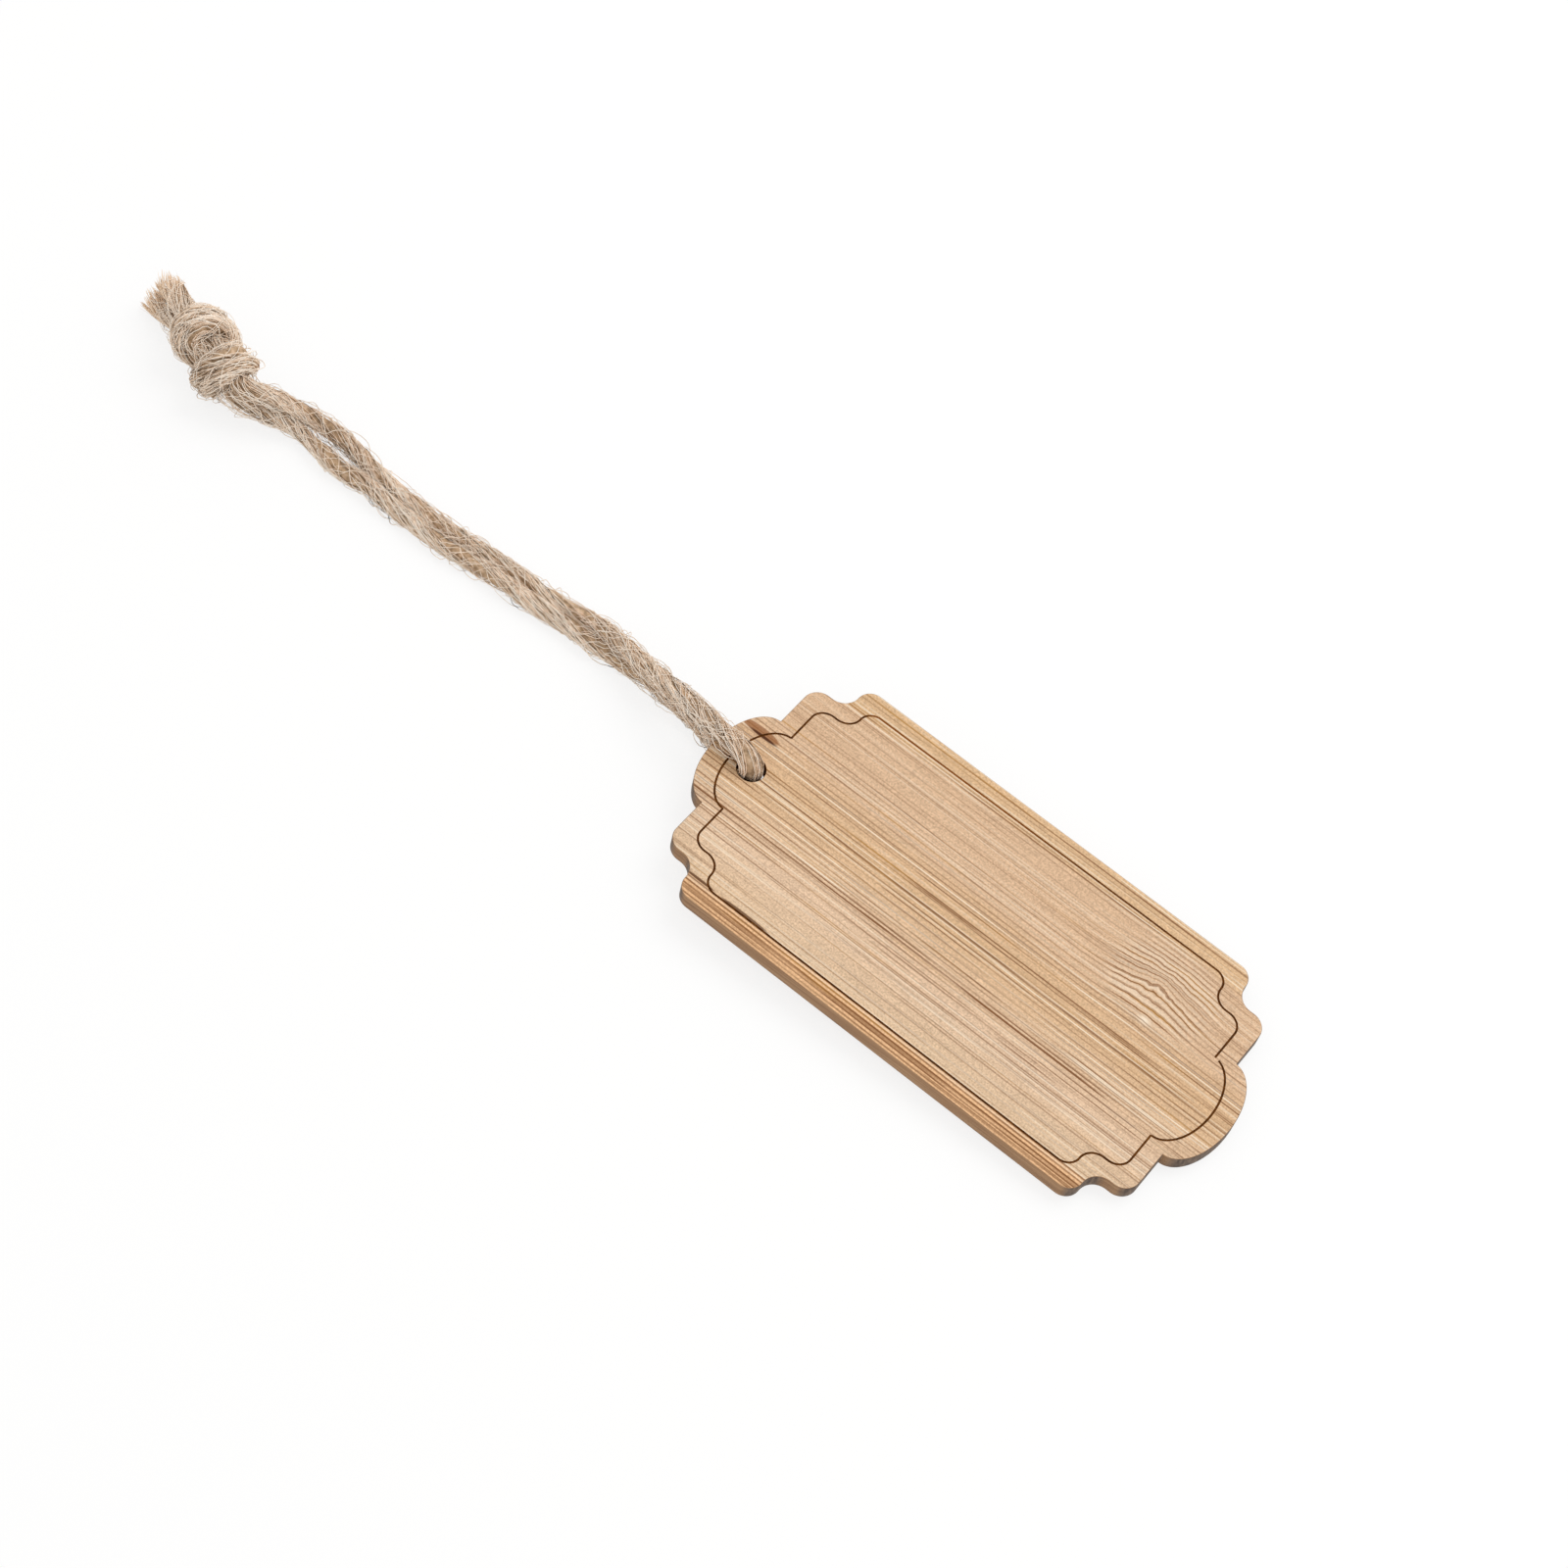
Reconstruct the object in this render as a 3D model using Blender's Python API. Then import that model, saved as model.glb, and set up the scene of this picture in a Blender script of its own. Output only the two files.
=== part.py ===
"""Bamboo hang tag on a knotted loop of jute twine, lying on a table.

The scalloped board leans on the strand of twine that passes under its hole end. The twine
comes up through the hole, and both legs run to an overhand knot tied in the doubled twine.
Sizes are in millimetres here and become metres when a mesh or a curve is made.
"""

import math

import bpy
import bmesh
from mathutils import Matrix, Vector

MM = 0.001

# Board: plan outline, thickness and hole
BOARD_LENGTH = 67.0
BOARD_WIDTH = 33.0
BOARD_THICKNESS = 2.0
LOBE_REACH = 3.65
LOBE_HALF_WIDTH = 6.72
NOTCH_LENGTH = 4.32
NOTCH_WIDTH = 3.75
END_CORNER_RADIUS = 1.85
SCOOP_RADIUS = 1.97
SIDE_CORNER_RADIUS = 1.73
HOLE_DIAMETER = 3.15
HOLE_EDGE_MARGIN = 3.4
TIP_SEAT = 0.05
LOBE_STEPS = 16
ARC_STEPS = 9
HOLE_SIDES = 36

# Twine, its clearances and the turn that it makes through the hole
TWINE_DIAMETER = 2.0
SEAT_GAP = 0.3
END_GAP = 0.3
FLOOR_GAP = 0.05
BIGHT_BEND = 1.4
BIGHT_HEADING = math.radians(17.0)
BIGHT_STEP = 0.7
LEG_STEP = 2.0
KNOT_TAPER = 12.0
KNOT_LEAD = 1.2

# The stretch of twine that bends when the legs are lifted
FOLD_POINT = Vector((-41.0, 2.6, 3.0))
BEND_REACH = 4.5

# Overhand knot in the doubled twine
KNOT_STRAND = 1.25
KNOT_GAP = 0.32
KNOT_SLACK = 0.17
KNOT_REACH = 9.0
KNOT_TURNS = 1.5
KNOT_X = -106.4
KNOT_Y = 2.75
KNOT_HEADING = math.radians(9.0)
KNOT_ROLL = math.radians(265.0)
KNOT_STEP = 0.8
WRAP_SPREAD = 1.1
WRAP_FLAT = 0.4
WRAP_END = 1.15
KNOT_END = 1.21

# Frayed tails
TAIL_FLARE = 2.5
TAIL_STEP = 1.5

# Routes that the twine follows: from the hole to the knot, and from the knot to the ends
OVER_LEG = [
    (-33.4, 0.95, 5.93), (-36.6, 1.6, 5.5), (-41.0, 2.3, 4.65), (-45.5, 3.1, 3.75),
    (-50.0, 4.35, 2.85), (-54.5, 5.0, 1.45), (-59.0, 4.8, 1.05), (-63.5, 4.55, 1.05),
    (-68.0, 4.4, 1.05), (-72.5, 4.0, 1.05), (-77.0, 4.05, 1.05), (-81.5, 4.25, 1.05),
    (-86.0, 4.75, 1.05), (-90.5, 4.95, 1.3), (-94.5, 4.4, 2.45),
    (-97.9, 2.55, 3.9),
]
UNDER_LEG = [
    (-33.4, 1.5, 1.05), (-36.6, 2.45, 1.05), (-41.0, 3.05, 1.05), (-45.5, 3.05, 1.05),
    (-50.0, 2.75, 1.05), (-54.5, 2.6, 1.05), (-59.0, 2.3, 1.05), (-63.5, 2.15, 1.05),
    (-68.0, 2.0, 1.05), (-72.5, 1.6, 1.05), (-77.0, 1.65, 1.05), (-81.5, 1.75, 1.05),
    (-86.0, 1.9, 1.05), (-90.5, 2.6, 1.05), (-94.5, 2.75, 1.15),
    (-98.1, 1.9, 2.3),
]
OVER_TAIL = [(-115.2, 4.7, 1.75), (-118.7, 5.3, 1.35)]
UNDER_TAIL = [(-114.9, 5.8, 4.15), (-117.3, 7.8, 2.6)]

# Finishes: base colour and roughness
BAMBOO = ((0.60, 0.42, 0.27), 0.55)
JUTE = ((0.50, 0.40, 0.29), 0.9)

half_length = BOARD_LENGTH / 2
half_width = BOARD_WIDTH / 2
shoulder_x = half_length - LOBE_REACH
step_x = shoulder_x - NOTCH_LENGTH
step_y = half_width - NOTCH_WIDTH
hole_radius = HOLE_DIAMETER / 2
hole_x = -(half_length - HOLE_EDGE_MARGIN - hole_radius)
twine_radius = TWINE_DIAMETER / 2

# The board leans on its far tip, which has a small flat there, and on the twine under its hole
lean_rise = TIP_SEAT + FLOOR_GAP + TWINE_DIAMETER + SEAT_GAP
board_lean = math.asin(lean_rise / (half_length - hole_x - hole_radius))
board_shift = -BOARD_THICKNESS * math.sin(board_lean) / 2
board_drop = half_length * math.sin(board_lean) - TIP_SEAT
board_place = (Matrix.Translation((board_shift, 0, board_drop))
               @ Matrix.Rotation(board_lean, 4, "Y"))
hole_centre = board_place @ Vector((hole_x, 0, BOARD_THICKNESS / 2))
lobe_top = board_place @ Vector((-half_length, 0, BOARD_THICKNESS))
under_height = FLOOR_GAP + twine_radius
over_height = lobe_top.z + SEAT_GAP + twine_radius

# The wraps of the knot clear the two strands of its core
knot_pitch = KNOT_STRAND + KNOT_GAP
knot_core = knot_pitch / 2
wrap_radius = math.hypot(knot_core, knot_core) + knot_pitch + KNOT_SLACK
knot_centre = Vector((KNOT_X, KNOT_Y, wrap_radius + KNOT_STRAND / 2 + FLOOR_GAP))
knot_place = (Matrix.Translation(knot_centre) @ Matrix.Rotation(-KNOT_HEADING, 4, "Z")
              @ Matrix.Rotation(KNOT_ROLL, 4, "X"))


def clear_scene():
    for item in list(bpy.data.objects):
        bpy.data.objects.remove(item, do_unlink=True)


def finish(name, look):
    colour, roughness = look
    material = bpy.data.materials.new(name)
    material.use_nodes = True
    shader = material.node_tree.nodes["Principled BSDF"]
    shader.inputs["Base Color"].default_value = (*colour, 1)
    shader.inputs["Roughness"].default_value = roughness
    shader.inputs["Metallic"].default_value = 0
    return material


def axis_empty(name, point, parent=None):
    empty = bpy.data.objects.new(name, None)
    bpy.context.collection.objects.link(empty)
    empty.parent = parent
    empty.location = point * MM
    if parent:
        empty.location -= parent.location
    return empty


def arc(centre, radii, start, end, steps):
    points = []
    for step in range(steps + 1):
        angle = math.radians(start + (end - start) * step / steps)
        points.append((centre[0] + radii[0] * math.cos(angle),
                       centre[1] + radii[1] * math.sin(angle)))
    return points


def round_arc(x, y, radius, start, end):
    return arc((x, y), (radius, radius), start, end, ARC_STEPS)


def board_outline():
    """Tip lobe, end corner, scoop and side corner of one quarter, then the other three."""
    quarter = arc((shoulder_x, 0), (LOBE_REACH, LOBE_HALF_WIDTH), 0, 90, LOBE_STEPS)
    quarter += round_arc(shoulder_x - END_CORNER_RADIUS, step_y - END_CORNER_RADIUS,
                         END_CORNER_RADIUS, 0, 90)
    quarter += round_arc(step_x + SCOOP_RADIUS, step_y + SCOOP_RADIUS, SCOOP_RADIUS, 270, 180)
    quarter += round_arc(step_x - SIDE_CORNER_RADIUS, half_width - SIDE_CORNER_RADIUS,
                         SIDE_CORNER_RADIUS, 0, 90)
    half = quarter + [(-x, y) for x, y in reversed(quarter)]
    return half + [(-x, -y) for x, y in half[1:-1]]


def cut_seat(shape):
    """Flat on the far tip's lower edge, level with the table."""
    table = board_place.inverted()
    parts = shape.verts[:] + shape.edges[:] + shape.faces[:]
    cut = bmesh.ops.bisect_plane(shape, geom=parts, plane_co=table.translation * MM,
                                 plane_no=table.to_3x3() @ Vector((0, 0, 1)), clear_inner=True)
    edges = [item for item in cut["geom_cut"] if isinstance(item, bmesh.types.BMEdge)]
    bmesh.ops.contextual_create(shape, geom=edges)


def make_board(material):
    shape = bmesh.new()
    rim = [shape.verts.new((x * MM, y * MM, 0)) for x, y in board_outline()]
    face = shape.faces.new(rim)
    raised = bmesh.ops.extrude_face_region(shape, geom=[face])["geom"]
    top = [item for item in raised if isinstance(item, bmesh.types.BMVert)]
    bmesh.ops.translate(shape, verts=top, vec=(0, 0, BOARD_THICKNESS * MM))
    cut_seat(shape)
    bmesh.ops.recalc_face_normals(shape, faces=shape.faces)
    mesh = bpy.data.meshes.new("board")
    shape.to_mesh(mesh)
    shape.free()
    board = bpy.data.objects.new("board", mesh)
    bpy.context.collection.objects.link(board)
    board.location = board_place.translation * MM
    board.rotation_euler = board_place.to_euler()
    mesh.materials.append(material)

    bpy.ops.mesh.primitive_cylinder_add(vertices=HOLE_SIDES, radius=hole_radius * MM,
                                        depth=3 * BOARD_THICKNESS * MM)
    cutter = bpy.context.object
    cutter.name = "hole_cutter"
    cutter.location = hole_centre * MM
    cutter.rotation_euler = board_place.to_euler()
    cutter.hide_render = True
    cutter.display_type = "WIRE"
    hole = board.modifiers.new("hole", "BOOLEAN")
    hole.operation = "DIFFERENCE"
    hole.solver = "EXACT"
    hole.object = cutter
    return board


def smooth_route(points, fine=24):
    """Dense points on one smooth curve through the chosen points."""
    chain = [2 * points[0] - points[1]] + points + [2 * points[-1] - points[-2]]
    dense = []
    for a, b, c, d in zip(chain, chain[1:], chain[2:], chain[3:]):
        knots = [0]
        for start, end in ((a, b), (b, c), (c, d)):
            knots.append(knots[-1] + math.sqrt((end - start).length))
        k0, k1, k2, k3 = knots
        for step in range(fine):
            t = k1 + (k2 - k1) * step / fine
            ab = a.lerp(b, (t - k0) / (k1 - k0))
            bc = b.lerp(c, (t - k1) / (k2 - k1))
            cd = c.lerp(d, (t - k2) / (k3 - k2))
            abc = ab.lerp(bc, (t - k0) / (k2 - k0))
            bcd = bc.lerp(cd, (t - k1) / (k3 - k1))
            dense.append(abc.lerp(bcd, (t - k1) / (k2 - k1)))
    return dense + [points[-1]]


def run_length(points):
    return sum((b - a).length for a, b in zip(points, points[1:]))


def spaced(points, step):
    """The same run with even spacing, about one step apart, and both ends kept."""
    total = run_length(points)
    count = max(2, round(total / step))
    even = [points[0]]
    travelled = 0
    for a, b in zip(points, points[1:]):
        length = (b - a).length
        while len(even) < count and travelled + length >= total * len(even) / count:
            share = (total * len(even) / count - travelled) / length
            even.append(a.lerp(b, share))
        travelled += length
    return even + [points[-1]]


def knot_middle(t):
    """Centre of the doubled twine: in along the core, back in wraps, out along the core."""
    if abs(t) < WRAP_SPREAD:
        turn = math.sin(math.pi * t / (2 * WRAP_SPREAD))
    else:
        turn = math.copysign(1, t)
    share = min(max((abs(t) - WRAP_FLAT) / (WRAP_END - WRAP_FLAT), 0), 1)
    drawn_in = share ** 3 * (share * (6 * share - 15) + 10)
    radius = wrap_radius + (knot_core - wrap_radius) * drawn_in
    angle = -math.pi * KNOT_TURNS * turn
    outward = Vector((0, math.cos(angle), math.sin(angle)))
    return Vector((KNOT_REACH * (t - t ** 3), 0, 0)) + outward * radius, outward


def knot_strand(side, fine=600):
    points = []
    for step in range(fine + 1):
        t = KNOT_END * (2 * step / fine - 1)
        middle, outward = knot_middle(t)
        along = knot_middle(t + 0.001)[0] - knot_middle(t - 0.001)[0]
        across = along.cross(outward).normalized()
        points.append(knot_place @ (middle + across * side * knot_pitch / 2))
    return points


def bight_half(height, side):
    """Out of the hole's middle and round a quarter bend to the run over or under the board."""
    points = [hole_centre]
    for degrees in (0, 30, 60, 90):
        angle = math.radians(degrees)
        out = BIGHT_BEND * (1 - math.cos(angle))
        level = height - side * BIGHT_BEND * (1 - math.sin(angle))
        points.append(Vector((hole_centre.x - out * math.cos(BIGHT_HEADING),
                              out * math.sin(BIGHT_HEADING), level)))
    return points


def leg_route(height, side, leg, strand):
    """From the hole to just short of the knot's strand, in line with it."""
    heading = (strand[0] - strand[1]).normalized()
    lead = [strand[0] + heading * run for run in (KNOT_LEAD, END_GAP)]
    return smooth_route(bight_half(height, side) + [Vector(point) for point in leg] + lead)


def tail_route(tail, strand):
    heading = (strand[-1] - strand[-2]).normalized()
    return smooth_route([strand[-1] + heading * END_GAP] + [Vector(point) for point in tail])


def between(route, near, far):
    return [point for point in route if far <= point.x <= near]


def tube(name, points, radii, material, parent):
    data = bpy.data.curves.new(name, "CURVE")
    data.dimensions = "3D"
    data.bevel_depth = MM
    data.bevel_resolution = 2
    data.use_fill_caps = True
    spline = data.splines.new("POLY")
    spline.points.add(len(points) - 1)
    origin = parent.matrix_world.translation
    for knot, point, radius in zip(spline.points, points, radii):
        knot.co = (*(point * MM - origin), 1)
        knot.radius = radius
    spline.use_smooth = True
    data.materials.append(material)
    item = bpy.data.objects.new(name, data)
    bpy.context.collection.objects.link(item)
    item.parent = parent
    return item


def plain(points):
    return [twine_radius] * len(points)


def tapered(points, start, end, run):
    """Radii that change from start to end over the last run of the points."""
    total = run_length(points)
    radii = []
    travelled = 0
    for index, point in enumerate(points):
        if index:
            travelled += (point - points[index - 1]).length
        share = min(max((travelled - total + run) / run, 0), 1)
        radii.append(start + (end - start) * share)
    return radii


def least_gap(first, second, apart):
    """Least clear distance between two knot strands, or of one strand to itself."""
    least = math.inf
    for i, a in enumerate(first):
        for b in second[i + apart:] if first is second else second:
            least = min(least, (a - b).length)
    return least - KNOT_STRAND


def build():
    clear_scene()
    bamboo = finish("bamboo", BAMBOO)
    make_board(bamboo)

    swivel = axis_empty("swivel_axis", hole_centre)
    fold = axis_empty("fold_axis", FOLD_POINT, swivel)
    bpy.context.view_layer.update()

    bend_near = FOLD_POINT.x + BEND_REACH
    bend_far = FOLD_POINT.x - BEND_REACH
    halves = []
    total = 0
    knot_runs = []
    for name, side, height, leg, tail in (("over", 1, over_height, OVER_LEG, OVER_TAIL),
                                          ("under", -1, under_height, UNDER_LEG, UNDER_TAIL)):
        strand = knot_strand(side)
        route = leg_route(height, side, leg, strand)
        end = tail_route(tail, strand)
        total += run_length(route) + run_length(strand) + run_length(end)
        halves.append(between(route, 0, bend_near + END_GAP))

        bend = spaced(between(route, bend_near, bend_far), LEG_STEP / 2)
        tube("twine_bend_" + name, bend, plain(bend), finish("jute_bend_" + name, JUTE), fold)
        run = spaced(between(route, bend_far - END_GAP, -math.inf), LEG_STEP)
        radii = tapered(run, twine_radius, KNOT_STRAND / 2, KNOT_TAPER)
        tube("twine_leg_" + name, run, radii, finish("jute_leg_" + name, JUTE), fold)

        turns = spaced(strand, KNOT_STEP)
        knot_runs.append(turns)
        tube("knot_strand_" + name, turns, [KNOT_STRAND / 2] * len(turns),
             finish("jute_knot_" + name, JUTE), fold)
        brush = spaced(end, TAIL_STEP)
        flare = tapered(brush, KNOT_STRAND / 2, TAIL_FLARE / 2, run_length(brush))
        tube("twine_tail_" + name, brush, flare, finish("jute_tail_" + name, JUTE), fold)

    over, under = halves
    bight = spaced(over[::-1] + under[1:], BIGHT_STEP)
    tube("twine_bight", bight, plain(bight), finish("jute_bight", JUTE), swivel)

    apart = round(3 * KNOT_STRAND / KNOT_STEP)
    for turns in knot_runs:
        print("knot strand, least gap to itself %.2f mm" % least_gap(turns, turns, apart))
    print("knot strands, least gap to each other %.2f mm" % least_gap(*knot_runs, 0))
    print("twine length %.1f mm" % total)


build()
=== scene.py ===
import math
import bpy
import numpy as np
from mathutils import Matrix, Vector


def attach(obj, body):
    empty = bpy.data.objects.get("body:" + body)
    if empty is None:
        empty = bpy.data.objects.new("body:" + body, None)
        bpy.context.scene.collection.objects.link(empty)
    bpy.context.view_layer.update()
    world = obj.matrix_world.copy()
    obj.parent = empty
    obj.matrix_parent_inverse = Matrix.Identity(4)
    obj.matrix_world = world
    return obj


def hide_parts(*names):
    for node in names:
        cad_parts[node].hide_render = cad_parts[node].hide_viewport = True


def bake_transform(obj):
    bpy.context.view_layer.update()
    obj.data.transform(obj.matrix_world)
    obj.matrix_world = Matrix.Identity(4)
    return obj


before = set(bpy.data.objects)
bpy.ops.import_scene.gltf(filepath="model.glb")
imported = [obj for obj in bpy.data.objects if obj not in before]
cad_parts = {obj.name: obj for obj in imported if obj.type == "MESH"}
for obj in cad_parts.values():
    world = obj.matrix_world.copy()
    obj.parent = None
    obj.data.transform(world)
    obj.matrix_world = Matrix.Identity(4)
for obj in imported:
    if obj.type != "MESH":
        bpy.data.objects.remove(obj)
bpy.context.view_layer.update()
mm = 0.001
wholeTurn = 6.28
rng = np.random.default_rng(41)
scene = bpy.context.scene
print("frame loaded:", len(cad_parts), "nodes")


def linear(hexColour):
    parts = [int(hexColour[i:i + 2], 16) / 255 for i in (0, 2, 4)]
    return [p / 12.92 if p < 0.0405 else ((p + 0.055) / 1.055) ** 2.4 for p in parts] + [1.0]


def addNode(tree, kind, links=None, **settings):
    made = tree.nodes.new(kind)
    for key, value in settings.items():
        setattr(made, key, value)
    for key, value in (links or {}).items():
        if isinstance(value, bpy.types.NodeSocket):
            tree.links.new(value, made.inputs[key])
        else:
            made.inputs[key].default_value = value
    return made


def setStops(ramp, stops):
    band = ramp.color_ramp
    band.interpolation = "LINEAR"
    band.elements.remove(band.elements[1])
    for k, (place, colour) in enumerate(stops):
        element = band.elements.new(place) if k else band.elements[0]
        element.position = place
        element.color = linear(colour) if isinstance(colour, str) else [colour] * 3 + [1]


def newMaterial(name):
    material = bpy.data.materials.new(name)
    material.use_nodes = True
    return material, material.node_tree, material.node_tree.nodes["Principled BSDF"]


# an oval patch that fades from its middle and goes right through the board
def ovalPatch(tree, inMm, spot, spread, falloff):
    placed = addNode(tree, "ShaderNodeMapping", {"Vector": inMm, "Location": (*spot, 0),
                                                 "Scale": (*spread, 1000)}, vector_type="TEXTURE")
    return addNode(tree, "ShaderNodeTexGradient", {"Vector": placed.outputs[0]},
                   gradient_type=falloff).outputs["Fac"]


# rays that should meet a plain white backdrop
def shownRays(tree):
    seen = addNode(tree, "ShaderNodeLightPath").outputs
    shown = seen["Is Camera Ray"]
    for more in ("Is Glossy Ray", "Is Transmission Ray"):
        shown = addNode(tree, "ShaderNodeMath", {0: shown, 1: seen[more]}, operation="MAXIMUM").outputs[0]
    return shown


def pickOnly(piece):
    bpy.ops.object.select_all(action="DESELECT")
    piece.select_set(True)
    bpy.context.view_layer.objects.active = piece


# camera
cameraSet = dict(
    place=(0.06689, -0.17261, 0.31256),
    right=(0.7833, 0.6116, 0.1113),
    up=(-0.5688, 0.6328, 0.5253),
    lens=80.3,
    sensor=36.0,
)
sideways = Vector(cameraSet["right"]).normalized()
upwards = Vector(cameraSet["up"]).normalized()
bpy.ops.object.camera_add(location=cameraSet["place"])
camera = bpy.context.object
camera.rotation_euler = Matrix((sideways, upwards, sideways.cross(upwards))).transposed().to_euler()
camera.data.lens = cameraSet["lens"]
camera.data.sensor_width = cameraSet["sensor"]
scene.camera = camera
print("camera set")

# how the board lies, in mm: on its far tip and on the twine under its hole
layoutSet = dict(
    halfLength=33.5,
    halfWidth=16.5,
    thickness=2.0,
    holeRadius=1.575,
    holeX=-28.525,
    lean=math.radians(2.27537),
    tipSeat=0.05,
)
leanSine = math.sin(layoutSet["lean"])
boardPlace = (Matrix.Translation((-layoutSet["thickness"] * leanSine / 2, 0,
                                  layoutSet["halfLength"] * leanSine - layoutSet["tipSeat"]))
              @ Matrix.Rotation(layoutSet["lean"], 4, "Y"))
holeCentre = np.array(boardPlace @ Vector((layoutSet["holeX"], 0, layoutSet["thickness"] / 2)))
lobeTop = boardPlace @ Vector((-layoutSet["halfLength"], 0, layoutSet["thickness"]))

# route of the twine, in mm: hole, leg, overhand knot in the doubled twine, tail
twineSet = dict(
    diameter=2.0,
    bend=1.4,
    heading=math.radians(17),
    overHeight=lobeTop.z + 1.3,
    underHeight=1.05,
    overLeg=[(-33.4, 0.95, 5.93), (-36.6, 1.6, 5.5), (-41.0, 2.3, 4.65), (-45.5, 3.1, 3.75),
             (-50.0, 4.35, 2.85), (-54.5, 5.0, 1.45), (-59.0, 4.8, 1.05), (-63.5, 4.55, 1.05),
             (-68.0, 4.4, 1.05), (-72.5, 4.0, 1.05), (-77.0, 4.05, 1.05), (-81.5, 4.25, 1.05),
             (-86.0, 4.75, 1.05), (-90.5, 4.95, 1.3), (-94.5, 4.4, 2.45), (-97.9, 2.55, 3.9)],
    underLeg=[(-33.4, 1.5, 1.05), (-36.6, 2.45, 1.05), (-41.0, 3.05, 1.05), (-45.5, 3.05, 1.05),
              (-50.0, 2.75, 1.05), (-54.5, 2.6, 1.05), (-59.0, 2.3, 1.05), (-63.5, 2.15, 1.05),
              (-68.0, 2.0, 1.05), (-72.5, 1.6, 1.05), (-77.0, 1.65, 1.05), (-81.5, 1.75, 1.05),
              (-86.0, 1.9, 1.05), (-90.5, 2.6, 1.05), (-94.5, 2.75, 1.15), (-98.1, 1.9, 2.3)],
    overTail=[(-115.2, 4.7, 1.75), (-118.7, 5.3, 1.35)],
    underTail=[(-114.6, 5.6, 4.3), (-117.6, 6.9, 3.8)],
    lead=1.2,               # straight stretch into the knot
    step=0.25,
    overLength=0.1263,      # m
    underLength=0.1249,
)
knotSet = dict(
    pitch=1.57,             # between the two strands
    wrapRadius=2.85,
    reach=9.0,
    turns=1.5,
    centre=(-106.4, 2.75, 3.525),
    heading=math.radians(9),
    roll=math.radians(265),
    spread=1.1,
    flat=0.4,
    wrapEnd=1.15,
    end=1.21,
    points=601,
)
knotPlace = (Matrix.Translation(knotSet["centre"]) @ Matrix.Rotation(-knotSet["heading"], 4, "Z")
             @ Matrix.Rotation(knotSet["roll"], 4, "X"))


def smoothRoute(points, fine=24):
    points = [np.array(p, float) for p in points]
    chain = [2 * points[0] - points[1]] + points + [2 * points[-1] - points[-2]]
    dense = []
    for a, b, c, d in zip(chain, chain[1:], chain[2:], chain[3:]):
        k1 = math.sqrt(np.linalg.norm(b - a))
        k2 = k1 + math.sqrt(np.linalg.norm(c - b))
        k3 = k2 + math.sqrt(np.linalg.norm(d - c))
        for t in np.linspace(k1, k2, fine, endpoint=False):
            ab = a + (b - a) * t / k1
            bc = b + (c - b) * (t - k1) / (k2 - k1)
            cd = c + (d - c) * (t - k2) / (k3 - k2)
            abc = ab + (bc - ab) * t / k2
            bcd = bc + (cd - bc) * (t - k1) / (k3 - k1)
            dense.append(abc + (bcd - abc) * (t - k1) / (k2 - k1))
    return np.array(dense + [points[-1]])


def travelled(points):
    return np.concatenate([[0], np.cumsum(np.linalg.norm(np.diff(points, axis=0), axis=1))])


def evenly(points, step):
    run = travelled(points)
    marks = np.linspace(0, run[-1], int(round(run[-1] / step)) + 1)
    return np.stack([np.interp(marks, run, points[:, k]) for k in range(3)], axis=1)


# middle of the pair of strands, wound round itself and drawn in at both ends
def knotMiddle(t):
    spread = knotSet["spread"]
    turn = math.sin(math.pi * t / (2 * spread)) if abs(t) < spread else math.copysign(1, t)
    share = (abs(t) - knotSet["flat"]) / (knotSet["wrapEnd"] - knotSet["flat"])
    share = min(max(share, 0), 1)
    drawnIn = share ** 3 * (share * (6 * share - 15) + 10)
    radius = knotSet["wrapRadius"] + (knotSet["pitch"] / 2 - knotSet["wrapRadius"]) * drawnIn
    angle = -math.pi * knotSet["turns"] * turn
    outward = Vector((0, math.cos(angle), math.sin(angle)))
    return Vector((knotSet["reach"] * (t - t ** 3), 0, 0)) + outward * radius, outward


def knotStrand(side, nudge=0.001):
    points = []
    for t in np.linspace(-knotSet["end"], knotSet["end"], knotSet["points"]):
        middle, outward = knotMiddle(t)
        along = knotMiddle(t + nudge)[0] - knotMiddle(t - nudge)[0]
        across = along.cross(outward).normalized()
        points.append(knotPlace @ (middle + across * side * knotSet["pitch"] / 2))
    return np.array(points)


# out of the hole, up over the board's end or down under it
def bightHalf(height, side):
    points = [holeCentre]
    for degrees in (0, 30, 60, 90):
        angle = math.radians(degrees)
        out = twineSet["bend"] * (1 - math.cos(angle))
        level = height - side * twineSet["bend"] * (1 - math.sin(angle))
        points.append((holeCentre[0] - out * math.cos(twineSet["heading"]),
                       out * math.sin(twineSet["heading"]), level))
    return points


def wholeRoute(height, side, leg, strand, tail):
    heading = (strand[0] - strand[1]) / np.linalg.norm(strand[0] - strand[1])
    toKnot = smoothRoute(bightHalf(height, side) + leg + [strand[0] + heading * twineSet["lead"], strand[0]])
    toEnd = smoothRoute([strand[-1]] + tail)
    route = evenly(np.concatenate([toKnot, strand[1:], toEnd[1:]]), twineSet["step"])
    return route, travelled(toKnot)[-1]


overRoute, overKnotAt = wholeRoute(twineSet["overHeight"], 1, twineSet["overLeg"], knotStrand(1),
                                   twineSet["overTail"])
underRoute, underKnotAt = wholeRoute(twineSet["underHeight"], -1, twineSet["underLeg"], knotStrand(-1),
                                     twineSet["underTail"])
print("twine routes, mm:", round(travelled(overRoute)[-1], 1), round(travelled(underRoute)[-1], 1))

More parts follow.
